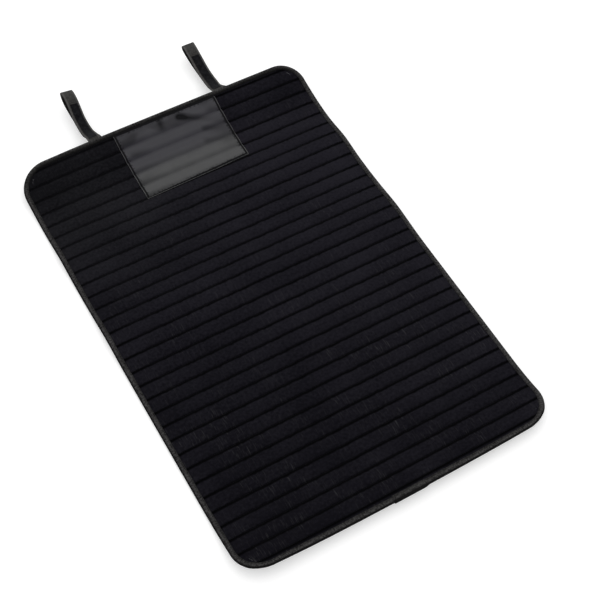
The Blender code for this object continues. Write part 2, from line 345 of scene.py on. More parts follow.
# %% Grid helpers
def start_clean():
    bpy.ops.object.select_all(action="DESELECT")


def new_grid(name, columns, rows):
    """A grid of one metre square, whose columns and rows are its numbers of points."""
    start_clean()
    bpy.ops.mesh.primitive_grid_add(x_subdivisions=columns - 1, y_subdivisions=rows - 1, size=1)
    grid = bpy.context.object
    grid.name = name
    grid.data.name = name
    return grid


def points_of(piece):
    points = np.empty(len(piece.data.vertices) * 3, np.float32)
    piece.data.vertices.foreach_get("co", points)
    return points.reshape(-1, 3).astype(float)


def move_points(piece, points):
    piece.data.vertices.foreach_set("co", np.asarray(points, np.float32).ravel())
    piece.data.update()


def grid_places(piece, columns, rows):
    """Each point's column and row number in a new grid."""
    shares = points_of(piece)[:, :2] + 0.5
    return np.rint(shares * (columns - 1, rows - 1)).astype(int).T


def keep_cut(piece, across, along, name="cut"):
    """Writes two numbers of each point, such as its flat place in metres, as a UV map."""
    layer = piece.data.uv_layers.get("UVMap") or piece.data.uv_layers.new()
    layer.name = name
    corners = np.empty(len(piece.data.loops), np.int32)
    piece.data.loops.foreach_get("vertex_index", corners)
    flat = np.stack([across[corners], along[corners]], axis=1)
    layer.data.foreach_set("uv", flat.astype(np.float32).ravel())


def apply_modifier(piece, kind, **settings):
    """Adds a modifier to the piece, sets it up and applies it."""
    start_clean()
    piece.select_set(True)
    bpy.context.view_layer.objects.active = piece
    modifier = piece.modifiers.new(kind.lower(), kind)
    for setting, value in settings.items():
        setattr(modifier, setting, value)
    bpy.ops.object.modifier_apply(modifier=modifier.name)


def dress(piece, material, slot, *nodes):
    """Gives a finished piece its material, puts it under the root body and hides its solids."""
    piece.data.materials.clear()
    piece.data.materials.append(material)
    piece.data.shade_smooth()
    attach(piece, "root")
    if nodes:
        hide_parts(*nodes)
    low, high = points_of(piece).min(0), points_of(piece).max(0)
    faces = len(piece.data.polygons)
    print(f"{piece.name}: {faces} faces, {np.round((high - low) * 1000, 1)} mm")
    return piece


# %% [markdown]
# ## Knit of the face
# The face is a short-napped polyester knit, nearly black. It has no gloss at all: its fibres
# stand up and scatter the light, so it is a very rough surface with hardly any sheen. The nap
# is uneven and holds loose fibres, which show as faint light streaks. Its colour carries
# painted light, lighter towards the upper right where the lamp is, and painted shade, darker
# where the end curls up. It is lighter and greyer towards the upper left. Along each seam's
# furrow a black band of painted shade is laid, a little more on the side towards the mat's
# lower edge, and weaker in the upper left.

# %% Material of the face
FURROW_SHIFT = 0.080
FURROW_EDGES = (0.030, 0.160)
FURROW_SHADE = 0.99
BLUISH_KNIT = (0.0052, 0.0049, 0.0070, 1), (0.0138, 0.0130, 0.0174, 1)
GREYER_KNIT = (0.0055, 0.0054, 0.0066, 1), (0.0146, 0.0144, 0.0168, 1)
LOOSE_FIBRE = (0.031, 0.0300, 0.0325, 1)
FURROW_SHADE_COLOUR = (0.0008, 0.0008, 0.0011, 1)
CURL_SHADE_ALONG = (0.32, 0.40)
GREYER_ALONG, GREYER_ACROSS = (0.02, 0.36), (-0.22, 0.10)
HAIRY_ALONG = (-0.45, 0.35)
STREAK_LEAN, STRAY_LEAN = math.radians(9), math.radians(14)


def by_seams(along, shift, edges):
    """1 on a seam and 0 away from it, moved by a share of a channel."""
    channel = (along - FIRST_SEAM) / CHANNEL_PITCH
    return 1 - (channel + shift).seam_share().sharpened(*edges)


def napped_knit():
    knit = Finish(
        "napped_knit", Roughness=1.0, Specular_IOR_Level=0.008, Sheen_Weight=0.008,
        Sheen_Roughness=0.6,
    )
    place = knit.cut()
    nap = knit.noise(knit.stretched(place, 1.0, 0.45), 620.0, detail=3.0, roughness=0.65)
    tufts = knit.noise(place, 190.0, detail=2.0)
    patches = knit.noise(place, 9.0, detail=3.0)
    across, along = knit.split(place)
    # Painted light: the colour grows lighter towards the upper right, where the lamp is, and
    # painted shade darkens it where the top end curls up.
    painted_light_and_shade = along * 0.75 + across * 0.65 - along.sharpened(*CURL_SHADE_ALONG) * 0.62
    level = (nap - 0.5) * 1.1 + (tufts - 0.5) * 1.5 + (patches - 0.5) * 1.1 + painted_light_and_shade + 0.53
    greyer_upper_left = along.sharpened(*GREYER_ALONG) * (1 - across.sharpened(*GREYER_ACROSS))
    cloth = knit.blend(greyer_upper_left, knit.blend(level, *BLUISH_KNIT), knit.blend(level, *GREYER_KNIT))
    loose = knit.noise(knit.stretched(place, 900.0, 48.0, STREAK_LEAN), 1.0, detail=0.0)
    stray = knit.noise(knit.stretched(place, 760.0, 36.0, STRAY_LEAN), 1.0, detail=0.0)
    lower = 1 - along.sharpened(*HAIRY_ALONG)
    area = knit.noise(place, 13.0, detail=1.0).sharpened(0.40, 0.66) * (lower * 0.6 + 0.4)
    streaks = (loose.sharpened(0.66, 0.82) + stray.sharpened(0.68, 0.84)) * area
    hairy = knit.blend(streaks, cloth, LOOSE_FIBRE)
    # Painted shade: a black band along each seam, weaker in the lighter, greyer upper left.
    furrow_shade = by_seams(along, FURROW_SHIFT, FURROW_EDGES) * (FURROW_SHADE - greyer_upper_left * 0.24)
    knit.feed("Base Color", knit.blend(furrow_shade, hairy, FURROW_SHADE_COLOUR))
    knit.feed("Normal", knit.relief(nap * 0.6 + tufts * 0.4, 0.0009, 0.7))
    return knit.material


# %% [markdown]
# ## Face fabric
# The face cloth is sewn down along every seam and under the binding, and the foam pushes it up
# in between. It could be drawn as a row of bars, but cloth gathers a little at each seam. So
# it is drawn near its shape and then simulated: the sewn rows are pinned, the cloth is cut a
# little larger than the space it has, and air pressure lifts it for twenty frames.

# %% Draw the face fabric
FACE_COLUMNS = 121
CHANNEL_ROWS = (0.0, 0.022, 0.055, 0.11, 0.2, 0.34, 0.5, 0.66, 0.8, 0.89, 0.945, 0.978)
BOTTOM_ROWS, TOP_ROWS = 9, 6
FACE_EDGE = NOSE_INSET + 0.0004


def quilt_rows():
    """Distances along the mat of the rows that draw its channels and its two ends."""
    first = np.linspace(FACE_EDGE - HALF_LENGTH, FIRST_SEAM, BOTTOM_ROWS)[:-1]
    middle = np.add.outer(SEAMS[:-1], np.array(CHANNEL_ROWS) * CHANNEL_PITCH).ravel()
    last = np.linspace(LAST_SEAM, HALF_LENGTH - FACE_EDGE, TOP_ROWS)
    return np.concatenate([first, middle, last])


def mat_grid(name, columns, rows, edge):
    """A grid whose rows run from side to side of the outline. Gives the piece and its places."""
    grid = new_grid(name, columns, len(rows))
    column, row = grid_places(grid, columns, len(rows))
    along = rows[row]
    left, right = -reach(along, -1, edge), reach(along, 1, edge)
    across = left + (right - left) * column / (columns - 1)
    return grid, across, along


face_rows = quilt_rows()
face, face_across, face_along = mat_grid("face_fabric", FACE_COLUMNS, face_rows, FACE_EDGE)
keep_cut(face, face_across, face_along)
face_start = np.stack([face_across, face_along, face_top(face_across, face_along)], axis=1)
move_points(face, face_start)
print("face:", len(face_rows), "rows of", FACE_COLUMNS, "points")

# %% [markdown]
# The pins hold whatever a needle has gone through: the rows on the seams, the rows outside the
# first and last seam, and all that lies under the binding. A cap then keeps the cloth from
# moving further than real foam would let it.

# %% Puff the face fabric
PUFF_FRAMES = 20
PUFF_PRESSURE = 4.0
CLOTH_QUALITY = 4
CLOTH_MASS = 0.2
CLOTH_STIFFNESS = 0.3
CLOTH_SLACK = 0.012
FURTHEST_PUFF = 0.0012
PUFF_UNDER_PATCH = 0.0002
PATCH_MARGIN = 0.004
ON_SEAM = 1e-5
BY_BINDING = 0.001


def puff(cloth, pinned, start, cap):
    """Simulates the cloth between its pins and gives its points, no further off than the cap."""
    group = cloth.vertex_groups.new(name="sewn")
    group.add([int(index) for index in np.flatnonzero(pinned)], 1.0, "REPLACE")
    modifier = cloth.modifiers.new("puff", "CLOTH")
    modifier.settings.quality = CLOTH_QUALITY
    modifier.settings.mass = CLOTH_MASS
    modifier.settings.bending_stiffness = CLOTH_STIFFNESS
    modifier.settings.vertex_group_mass = group.name
    modifier.settings.use_pressure = True
    modifier.settings.uniform_pressure_force = PUFF_PRESSURE
    modifier.settings.shrink_min = -CLOTH_SLACK
    modifier.settings.effector_weights.gravity = 0.0
    modifier.collision_settings.use_collision = False
    for step in range(1, PUFF_FRAMES + 1):
        bpy.context.scene.frame_set(step)
    start_clean()
    bpy.context.view_layer.objects.active = cloth
    bpy.ops.object.modifier_apply(modifier=modifier.name)
    bpy.context.scene.frame_set(1)
    cloth.vertex_groups.clear()
    moved = points_of(cloth) - start
    distance = np.linalg.norm(moved, axis=1, keepdims=True)
    print(f"the cloth moved {distance.max() * 1000:.1f} mm at most")
    return start + moved * cap / np.maximum(distance, cap)


def furthest_puff(across, along):
    """The cap, which is lower where the patch holds the cloth down."""
    low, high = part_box("label_patch")
    under = (across > low.x - PATCH_MARGIN) & (across < high.x + PATCH_MARGIN)
    under &= along > low.y - PATCH_MARGIN
    return np.where(under, PUFF_UNDER_PATCH, FURTHEST_PUFF)[:, None]


from_seam = np.min(np.abs(face_along[:, None] - SEAMS[None, :]), axis=1)
sewn = (from_seam < ON_SEAM) | (edge_distance(face_across, face_along) < BY_BINDING)
face_points = puff(face, sewn, face_start, furthest_puff(face_across, face_along))

# %% Lay the face fabric down
face_bowed = bowed(face_points[:, 0], face_points[:, 1])
move_points(face, laid(face_points[:, 0], face_bowed, face_points[:, 2]))
apply_modifier(face, "SOLIDIFY", thickness=FACE_THICKNESS, offset=-1)
dress(face, napped_knit(), "napped_knit", "face_fabric")

# %% [markdown]
# ## Foam
# The foam can't be seen, but the mat is nothing without it. It is one sheet, pressed thin along
# the seams, a hair lower than the cloth all over.

# %% Foam core
FOAM_COLUMNS = 61
FOAM_CLEARANCE = 0.0006
FOAM_GREY = (0.05, 0.05, 0.055, 1), (0.10, 0.10, 0.105, 1)


def mat_sheet(name, columns, rows, edge, low, high):
    """A closed sheet between two heights that depend on the place across and along."""
    sheet, across, along = mat_grid(name, columns, rows, edge)
    keep_cut(sheet, across, along)
    bottom = laid(across, bowed(across, along), low(across, along))
    top = laid(across, bowed(across, along), high(across, along))
    start_clean()
    sheet.select_set(True)
    bpy.context.view_layer.objects.active = sheet
    bpy.ops.object.mode_set(mode="EDIT")
    bpy.ops.mesh.select_all(action="SELECT")
    bpy.ops.mesh.extrude_region()
    bpy.ops.object.mode_set(mode="OBJECT")
    raised = np.empty(len(sheet.data.vertices), bool)
    sheet.data.vertices.foreach_get("select", raised)
    points = points_of(sheet)
    points[~raised] = bottom
    column, row = grid_places(sheet, columns, len(rows))
    order = np.empty((columns, len(rows)), int)
    order[column[: len(across)], row[: len(across)]] = np.arange(len(across))
    points[raised] = top[order[column[raised], row[raised]]]
    move_points(sheet, points)
    bpy.ops.object.mode_set(mode="EDIT")
    bpy.ops.mesh.select_all(action="SELECT")
    bpy.ops.mesh.normals_make_consistent(inside=False)
    bpy.ops.object.mode_set(mode="OBJECT")
    return sheet


def open_foam():
    foam = Finish("foam", Roughness=0.95, Specular_IOR_Level=0.2)
    cells = foam.node("ShaderNodeTexVoronoi", {}, {"Vector": foam.lying(), "Scale": 900.0})
    foam.feed("Base Color", foam.blend(cells, *FOAM_GREY))
    foam.feed("Normal", foam.relief(cells, 0.0004))
    return foam.material


def foam_low(across, along):
    return underside(across, along) + BACKING_THICKNESS + GAP


def foam_high(across, along):
    return foam_low(across, along) + foam_thickness(across, along) - FOAM_CLEARANCE


foam = mat_sheet("foam_core", FOAM_COLUMNS, face_rows, FACE_EDGE, foam_low, foam_high)
dress(foam, open_foam(), "foam", "foam_core")

# %% [markdown]
# ## Backing
# The underside is a thin coated cloth that grips a car's roof: small rubber dots in rows on a
# fine weave. It lies flat on the floor, with the seams' threads pressed into it.

# %% Backing sheet
BACKING_COLUMNS = 91
DOT_SPACING = 0.0035
SEAM_TUCK = 0.0005
COATED_CLOTH = (0.014, 0.014, 0.0145, 1), (0.030, 0.030, 0.031, 1)


def dotted_backing():
    backing = Finish("non_slip_backing", Roughness=0.78, Specular_IOR_Level=0.35)
    place = backing.cut()
    rows = {"Vector": place, "Scale": 1 / DOT_SPACING, "Randomness": 0.0}
    dots = 1 - backing.node("ShaderNodeTexVoronoi", {}, rows).sharpened(0.22, 0.32)
    threads = backing.noise(backing.stretched(place, 1.0, 3.0), 700.0)
    backing.feed("Base Color", backing.blend(dots, *COATED_CLOTH))
    backing.feed("Roughness", 0.85 - dots * 0.35)
    backing.feed("Normal", backing.relief(dots * 0.8 + threads * 0.2, 0.0004))
    return backing.material


def backing_low(across, along):
    tuck = SEAM_TUCK * (1 - channel_crown(along)) ** 2
    inside = np.clip(edge_distance(across, along) / CHANNEL_END_LENGTH, 0, 1)
    return underside(across, along) + tuck * inside


def backing_high(across, along):
    return underside(across, along) + BACKING_THICKNESS


backing = mat_sheet(
    "backing_sheet", BACKING_COLUMNS, face_rows, FACE_EDGE, backing_low, backing_high
)
dress(backing, dotted_backing(), "non_slip_backing", "backing_sheet")

# %% [markdown]
# ## Binding
# One length of ribbed tape is folded round the pressed edge of all the layers and sewn through
# both its legs. Its two ends lap on the bottom edge, where the upper end stands proud. To make
# it, the outline is walked once, and at each step the tape's folded section is put across it.

# %% Walk round the outline
LAP_START, LAP_END, LAP_RISE = -0.028, 0.020, 0.010
WALK_SPACING = 0.0022
CORNER_POINTS = 46
CORNER_ORDER = [("bottom_right", 1, -1, -90), ("top_right", 1, 1, 0)]
CORNER_ORDER += [("top_left", -1, 1, 90), ("bottom_left", -1, -1, 180)]


def gone_along(points):
    """The distance gone along a line of points, at each of them."""
    steps = np.linalg.norm(np.diff(points, axis=0), axis=1)
    return np.concatenate([[0.0], np.cumsum(steps)])


def points_at(points, gone, at):
    """Points of a line at given distances along it."""
    return np.stack([np.interp(at, gone, values) for values in points.T], axis=1)


def outline_walk(begin, end, spacing):
    """Places round the outline from begin to end on the bottom edge, and the way out of the mat."""
    places = [(begin, -HALF_LENGTH, math.radians(-90))]
    for name, side, far, first in CORNER_ORDER:
        radius = CORNER_RADII[name]
        for turn in np.radians(first + np.linspace(0, 90, CORNER_POINTS)):
            across = side * (HALF_WIDTH - radius) + radius * math.cos(turn)
            along = far * (HALF_LENGTH - radius) + radius * math.sin(turn)
            places.append((across, along, turn))
    places.append((end, -HALF_LENGTH, math.radians(270)))
    places = np.array(places)
    gone = gone_along(places[:, :2])
    at = np.linspace(0, gone[-1], round(gone[-1] / spacing) + 1)
    return [*points_at(places, gone, at).T, at]


tape_across, tape_along, tape_facing, tape_gone = outline_walk(LAP_START, LAP_END, WALK_SPACING)
print(f"binding: {tape_gone[-1]:.2f} m of tape, {len(tape_gone)} steps")

# %% [markdown]
# The section runs from the inner edge of the upper leg, round the nose, to the inner edge of
# the lower leg. The tape isn't fed evenly by hand, so the legs' width wanders a little. Its
# ribs are worn in patches. Painted shade darkens it along its seam, along the fold and below it
# on the left and the bottom, the sides away from the lamp, and on its upper leg at the loops' end.

# %% Section of the tape
LEG_POINTS, NOSE_POINTS = 6, 9
STITCH_INSET = 0.0019
STITCH_PRESS = 0.00035
TAPE_BULGE = 0.00035
STITCH_SPREAD = 0.0009
NOSE_OUTER = NOSE_RADIUS + BINDING_THICKNESS
TAPE_LEG = BINDING_WIDTH - NOSE_INSET
LAP_PUSH = 1.5 * (BINDING_THICKNESS + GAP)
FIRST_STRETCH = 0.25
LEG_SHORT = 0.0003
WANDER = 0.00022
WANDER_WAVES = ((23.0, 0.0, 1.0), (61.0, 1.3, 1.0), (147.0, 0.4, 0.6))


def leg_width(gone):
    """How far the upper leg reaches in from the edge, at a distance along the tape."""
    waves = sum(share * np.sin(gone * rate + start) for rate, start, share in WANDER_WAVES)
    return BINDING_WIDTH - LEG_SHORT + WANDER * waves


def lap_push(across, gone):
    """The tape's first end lies on its last one, so it is pushed out there."""
    fall = eased((across - LAP_END - LAP_RISE) / LAP_RISE)
    return np.where(gone < FIRST_STRETCH, LAP_PUSH * (1 - fall), 0.0)


def section_point(part, width, push):
    """Inset and height of the tape's outer face, for part from 0 at the upper inner edge to 1."""
    leg = width - NOSE_INSET
    nose = math.pi * NOSE_OUTER
    total = 2 * leg + nose
    gone = part * total
    turn = np.clip((gone - leg) / nose, 0, 1) * math.pi
    on_leg = np.where(gone < leg, leg - gone, np.maximum(0.0, gone - leg - nose))
    radius = NOSE_OUTER + push
    inset = NOSE_INSET + on_leg - radius * np.sin(turn)
    height = NOSE_HEIGHT + radius * np.cos(turn)
    from_seam = width - inset - STITCH_INSET
    stitch = np.exp(-((from_seam / STITCH_SPREAD) ** 2))
    free = np.sin(math.pi * np.clip(from_seam / (leg - STITCH_INSET), 0, 1))
    change = TAPE_BULGE * free - STITCH_PRESS * stitch
    return inset, height + np.sign(np.cos(turn)) * change * (on_leg > 0)


def tape_point(across, along, facing, gone, part):
    push = lap_push(across, gone)
    inset, height = section_point(part, leg_width(gone), push)
    x = across - inset * np.cos(facing)
    y = along - inset * np.sin(facing)
    return laid(x, bowed(x, y), height)


# %% Material of the binding
SIDES_AWAY_FROM_LAMP = (-0.03, 0.05)
END_SHADE_ALONG = (0.395, 0.446)
WORN_TAPE = (0.0103, 0.0099, 0.0098, 1), (0.0700, 0.0680, 0.0676, 1)
TAPE_SHADE_COLOUR = (0.0030, 0.0029, 0.0029, 1)


def ribbed_tape():
    tape = Finish("binding_tape", Roughness=0.85, Specular_IOR_Level=0.05)
    place = tape.cut()
    ribs = tape.ribs(place, 140.0, "Y", distortion=0.8)
    mottle = tape.noise(tape.stretched(place, 0.7, 1.2), 330.0, detail=3.0, roughness=0.6)
    fade = tape.noise(place, 28.0, detail=2.0)
    level = ribs * 0.25 + (mottle - 0.5) * 3.4 + (fade - 0.5) * 0.8 + 0.31
    worn = tape.blend(level, *WORN_TAPE)
    leg = tape.split(place)[0]
    across, along = tape.split(tape.lying())
    # Painted shade: along the fold and below it on the left and bottom sides, away from the lamp,
    # on the upper leg by its seam, and on the upper leg at the loops' end.
    rolled = 1 - (across + along * 0.66).sharpened(*SIDES_AWAY_FROM_LAMP)
    rim_shade = leg.sharpened(TAPE_LEG - 0.0012, TAPE_LEG + 0.0014) * rolled * 0.90
    sewn = (1 - leg.sharpened(0.0006, 0.0046)) * 0.42
    inner = 1 - leg.sharpened(TAPE_LEG - 0.0030, TAPE_LEG + 0.0010)
    end_shade = along.sharpened(*END_SHADE_ALONG) * inner * 0.58
    shade = (rim_shade + sewn + end_shade).math("MINIMUM", 0.92)
    tape.feed("Base Color", tape.blend(shade, worn, TAPE_SHADE_COLOUR))
    tape.feed("Normal", tape.relief(ribs * 0.5 + mottle * 0.5, 0.0006))
    return tape.material


# %% Edge binding
section_columns = 2 * LEG_POINTS + NOSE_POINTS
binding = new_grid("edge_binding", section_columns, len(tape_gone))
column, row = grid_places(binding, section_columns, len(tape_gone))
part = column / (section_columns - 1)
tape_width = 2 * TAPE_LEG + math.pi * NOSE_OUTER
keep_cut(binding, part * tape_width, tape_gone[row])
where = [values[row] for values in (tape_across, tape_along, tape_facing, tape_gone)]
move_points(binding, tape_point(*where, part))
apply_modifier(binding, "SOLIDIFY", thickness=BINDING_THICKNESS, offset=-1)
dress(binding, ribbed_tape(), "binding_tape", "edge_binding")

# %% [markdown]
# ## Vinyl patch
# A patch of soft vinyl with turned-in hems is sewn over the first five channels at the loops'
# end. It bridges the seams, so they show only as faint bands. It has crept a little under the
# machine's foot: folds run out from its top edge and its sides, and the bottom hem puckers.
# Each fold is a named line with a width and a height, so it can be put where the real one lies.

# %% Shape of the patch
PATCH_COLUMNS, PATCH_ROWS = 181, 131
PATCH_LEFT, PATCH_RIGHT = -0.1015, 0.1170
PATCH_TOP = HALF_LENGTH - BINDING_WIDTH + 0.0010
PATCH_BOTTOM_LEFT, PATCH_BOTTOM_RIGHT = 0.2925, 0.2985
PATCH_THICKNESS = 0.0005
PATCH_HEM = 0.007
HEM_STITCH = 0.0042
HEM_SINK, HEM_SPREAD = 0.0006, 0.0011
PATCH_DIP, HEM_DIP, HEM_REACH = 0.40, 0.9, 0.012
PUCKER_RISE, PUCKER_RATE, PUCKER_REACH = 0.0004, 640.0, 0.009
SLACK_RISE = 0.00025
PATCH_CLEARANCE = 0.0005
TROUGH_ASIDE, TROUGH_SHARE = 1.5, 0.7
DEEPEST_RISE = 0.0018
FOLDS = [
    ((0.036, 0.4395), (0.106, 0.4060), 0.0056, 0.0019),
    ((0.043, 0.4500), (0.061, 0.4080), 0.0070, 0.0005),
    ((0.003, 0.445), (-0.001, 0.405), 0.0060, 0.0013),
    ((-0.034, 0.447), (-0.040, 0.424), 0.0075, 0.0006),
    ((0.070, 0.397), (0.112, 0.384), 0.0056, 0.0009),
    ((0.062, 0.372), (0.112, 0.360), 0.0060, 0.0006),
    ((-0.082, 0.403), (-0.038, 0.400), 0.0055, 0.0007),
    ((-0.098, 0.344), (-0.050, 0.352), 0.0065, 0.0005),
]


def folds(across, along):
    """Each fold is a ridge with a hollow beside it. Gives their height and how hollow it is."""
    total = np.zeros(np.shape(across))
    hollow = np.zeros(np.shape(across))
    for (root_x, root_y), (tip_x, tip_y), width, rise in FOLDS:
        run = np.array([tip_x - root_x, tip_y - root_y])
        length = np.hypot(*run)
        ahead = run / length
        gone = (across - root_x) * ahead[0] + (along - root_y) * ahead[1]
        aside = ((along - root_y) * ahead[0] - (across - root_x) * ahead[1]) / width
        fade = eased(1 - gone / length) * eased((gone + 2 * width) / (2 * width))
        trough = np.exp(-((aside + TROUGH_ASIDE) ** 2))
        total = total + rise * fade * (np.exp(-(aside**2)) - TROUGH_SHARE * trough)
        hollow = hollow + fade * trough * rise / DEEPEST_RISE
    return total, np.minimum(hollow, 1.0)


def patch_bottom(column_share):
    return PATCH_BOTTOM_LEFT + (PATCH_BOTTOM_RIGHT - PATCH_BOTTOM_LEFT) * column_share


def patch_place(column_share, row_share):
    across = PATCH_LEFT + (PATCH_RIGHT - PATCH_LEFT) * column_share
    bottom = patch_bottom(column_share)
    return across, bottom + (PATCH_TOP - bottom) * row_share


def hem_distance(across, along):
    """How far a place lies inside the patch's own edge."""
    bottom = patch_bottom((across - PATCH_LEFT) / (PATCH_RIGHT - PATCH_LEFT))
    sides = np.minimum(across - PATCH_LEFT, PATCH_RIGHT - across)
    return np.minimum(sides, np.minimum(along - bottom, PATCH_TOP - along))


def patch_height(across, along):
    """Height of the patch's upper face over the flat mat."""
    inside = hem_distance(across, along)
    held = 1 - eased((inside - HEM_STITCH) / HEM_REACH)
    dip = (PATCH_DIP + (HEM_DIP - PATCH_DIP) * held) * (1 - channel_crown(along))
    level = SEAM_STACK + GAP + underside(across, along)
    level = level + (FOAM_AT_CROWN - FOAM_AT_SEAM) * (1 - dip)
    hem = PATCH_THICKNESS * (1 + (inside < PATCH_HEM))
    stitched = np.exp(-(((inside - HEM_STITCH) / HEM_SPREAD) ** 2))
    pucker = 0.5 + 0.5 * np.sin(across * PUCKER_RATE + 2 * np.sin(along * 95.0))
    near_bottom = np.exp(-(((along - PATCH_BOTTOM_LEFT - HEM_STITCH) / PUCKER_REACH) ** 2))
    level = level + hem - HEM_SINK * stitched + PUCKER_RISE * pucker * near_bottom
    free = eased(inside / (2 * HEM_STITCH))
    slack = SLACK_RISE * np.sin(across * 140.0 + 1.0) * np.sin(along * 170.0 + 0.5)
    lowest = face_top(across, along) + PATCH_CLEARANCE + PATCH_THICKNESS
    return np.maximum(level + (folds(across, along)[0] + slack) * free, lowest)


# %% [markdown]
# The vinyl has a fine grain and a satin coat, which is duller over the seams and towards the
# raised end. Its turned-in border is darker, and its very edge carries a painted highlight.
# Painted shade lies in the folds' hollows, over creases and the left part of the top channel,
# on a part at the right, on the puckers by the bottom hem and on a band by the binding, and
# the coat is dulled there too. Two more numbers are kept for each point to draw that: how far
# it lies from the edge, and how deep in a fold.

# %% Material of the patch
LIT_EDGE = 0.0010
BAND_SHIFT, BAND_EDGES = -0.07, (0.0, 0.34)
BINDING_SHADE_INSET = 0.0014
LEFT_PART, RIGHT_PART = (-0.080, -0.030), (0.068, 0.104)
RIGHT_FROM, RIGHT_TO = (0.326, 0.352), (0.384, 0.412)
RAISED_PART = (0.340, 0.375)
CREASED_PART = (0.408, 0.424)
HAZY_VINYL = (0.015, 0.0152, 0.0162, 1), (0.036, 0.0362, 0.0374, 1)
RAISED_VINYL = (0.0225, 0.0212, 0.0285, 1)
VINYL_SHADE, VINYL_HIGHLIGHT = (0.0025, 0.0025, 0.003, 1), (0.058, 0.058, 0.057, 1)


def satin_vinyl():
    vinyl = Finish("patch_vinyl", Roughness=0.75, Specular_IOR_Level=0.05, Coat_Roughness=0.34)
    place = vinyl.cut()
    cells = {"Vector": place, "Scale": 1500.0}
    grain = vinyl.node("ShaderNodeTexVoronoi", {"feature": "SMOOTH_F1"}, cells)
    haze = vinyl.noise(place, 35.0, detail=4.0, roughness=0.6)
    across, along = vinyl.split(place)
    left = 1 - across.sharpened(*LEFT_PART)
    raised = along.sharpened(*RAISED_PART)
    plain = vinyl.blend(raised * 0.7, vinyl.blend(haze, *HAZY_VINYL), RAISED_VINYL)
    inside, hollow = vinyl.split(vinyl.cut("hem"))
    border = inside.sharpened(LIT_EDGE, 0.0018)
    border = border * (1 - inside.sharpened(HEM_STITCH, HEM_STITCH + 0.0014))
    crease = vinyl.noise(vinyl.stretched(place, 1.0, 1.4), 26.0, detail=0.5).sharpened(0.44, 0.70)
    pucker = vinyl.noise(place, 230.0, detail=1.0).sharpened(0.50, 0.62)
    right = across.sharpened(*RIGHT_PART) * along.sharpened(*RIGHT_FROM)
    right = right * (1 - along.sharpened(*RIGHT_TO))
    # Painted shade over creases and the left part of the top channel, on a part at the right, on
    # the puckers by the bottom hem, in the folds' hollows and on a band by the binding; the coat is
    # dulled there too.
    crease_shade = along.sharpened(*CREASED_PART) * (crease * 0.36 + left * 0.20) + right * 0.30
    pucker_shade = (1 - inside.sharpened(0.0065, 0.0100)) * pucker * 0.50
    binding_shade = along.sharpened(PATCH_TOP - 0.0010 - BINDING_SHADE_INSET, PATCH_TOP - BINDING_SHADE_INSET)
    shade_and_dull = (border + hollow + binding_shade + crease_shade + pucker_shade).math("MINIMUM", 1.0)
    shaded = vinyl.blend(shade_and_dull * 0.93, plain, VINYL_SHADE)
    # Painted highlight along the patch's very edge, weaker along the bottom and left out by the
    # binding.
    lowest = 1 - along.sharpened(PATCH_BOTTOM_RIGHT, PATCH_BOTTOM_RIGHT + 0.004)
    painted_highlight = (1 - inside.sharpened(0.0004, LIT_EDGE)) * (1 - binding_shade) * (1 - lowest * 0.55)
    vinyl.feed("Base Color", vinyl.blend(painted_highlight, shaded, VINYL_HIGHLIGHT))
    band = by_seams(along, BAND_SHIFT, BAND_EDGES)
    gloss = (1 - band * (raised * 0.12 + left * 0.28 + 0.38)) * (0.84 - raised * 0.33)
    vinyl.feed("Coat Weight", gloss * (1 - shade_and_dull * 0.92))
    vinyl.feed("Normal", vinyl.relief(grain * 0.7 + haze * 0.3, 0.00012, 0.6))
    return vinyl.material


# %% Patch
patch = new_grid("label_patch", PATCH_COLUMNS, PATCH_ROWS)
column, row = grid_places(patch, PATCH_COLUMNS, PATCH_ROWS)
patch_across, patch_along = patch_place(column / (PATCH_COLUMNS - 1), row / (PATCH_ROWS - 1))
keep_cut(patch, patch_across, patch_along)
keep_cut(patch, hem_distance(patch_across, patch_along), folds(patch_across, patch_along)[1], "hem")
patch_level = patch_height(patch_across, patch_along)
move_points(patch, laid(patch_across, patch_along, patch_level))
apply_modifier(patch, "SOLIDIFY", thickness=PATCH_THICKNESS, offset=-1)
dress(patch, satin_vinyl(), "patch_vinyl", "label_patch")

# %% [markdown]
# ## Webbing loops
# Each loop is one length of webbing, sewn under the mat, folded over at its tip and sewn down
# on itself. It leaves the mat's raised edge downwards, turns level and rises to its tip, where
# the plies stand apart. No two loops hang alike: the left one is rolled with its left side up,
# and its fold is sharper. The line midway between the plies is drawn first, through five
# heights, and then each ply beside it. A loop's other numbers say how far it leans aside half
# way and at its tip (sway), half its opening at the fold (nose), how much wider it stands
# behind the fold (swell) and from how far back (length), and how far its lower ply comes back
# beside the upper one (drift).

# %% Lines of the loops
Loop = namedtuple("Loop", "across sway heights nose swell length roll yaw drift")
LOOPS = {
    "strap_left": Loop(
        across=-0.1343, sway=(-0.0013, 0.0008),
        heights=(0.0286, 0.0206, 0.0192, 0.0262, 0.0341),
        nose=0.0032, swell=0.0195, length=0.0636,
        roll=math.radians(12.7), yaw=math.radians(3.7), drift=0.0035,
    ),
    "strap_right": Loop(
        across=0.1343, sway=(-0.0006, 0.0003),
        heights=(0.0240, 0.0215, 0.0206, 0.0244, 0.0294),
        nose=0.0061, swell=0.0077, length=0.0690,
        roll=0.0, yaw=math.radians(-0.4), drift=0.0080,
    ),
}
REACHES = np.array([0.0, 0.0108, 0.0288, 0.0648, 0.1008, 0.1298])
STRAP_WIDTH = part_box("strap_right")[1].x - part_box("strap_right")[0].x
WEBBING_THICKNESS = 0.0015
STRAP_SEWN_LENGTH = 0.040
LOOP_STEP = 0.0013
SWELL_RISE, SWELL_FALL = 0.8, 1.6
FOLD_POINTS = 16


